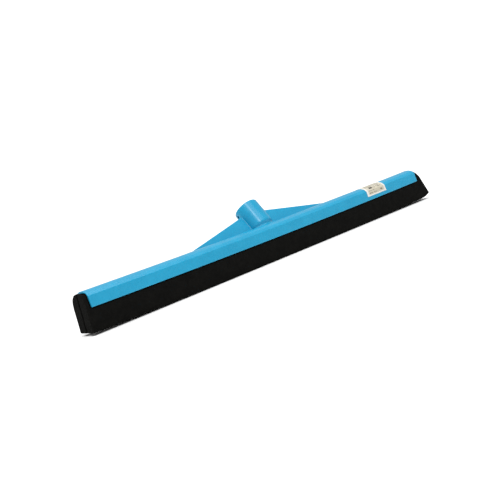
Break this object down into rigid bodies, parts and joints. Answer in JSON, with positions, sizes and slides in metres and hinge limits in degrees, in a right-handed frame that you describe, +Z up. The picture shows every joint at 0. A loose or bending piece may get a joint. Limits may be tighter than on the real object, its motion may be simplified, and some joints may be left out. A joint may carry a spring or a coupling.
{
  "type": "floor squeegee head",
  "caption": "Floor squeegee head: long open-ended channel frame with a tilted handle socket and side gussets, gripping a double-lipped foam-rubber blade.",
  "frame": {"origin": "under the centre of the head's bounding box, on the floor that the blade's two lips stand on", "axes": "+X along the blade, towards its slant-cut end; +Y to the back, the side the handle socket leans to; +Z up"},
  "size_m": [0.5564, 0.0622, 0.0748],
  "materials": {
    "frame_plastic": "satin moulded polypropylene, sky blue",
    "blade_foam": "matt closed-cell foam rubber, black",
    "core_plastic": "plain extruded plastic, dark grey",
    "label_paper": "semi-gloss printed sticker, cream with a white border"
  },
  "bodies": {
    "frame": {"frame_channel": "frame_plastic", "handle_socket": "frame_plastic", "paper_label": "label_paper"},
    "blade": {"front_lip": "blade_foam", "rear_lip": "blade_foam", "core_strip": "core_plastic"}
  },
  "joints": [
    {"name": "blade_slide", "type": "slide", "parent": "frame", "child": "blade", "axis": [1, 0, 0], "range_m": [-0.54, 0.54]}
  ]
}
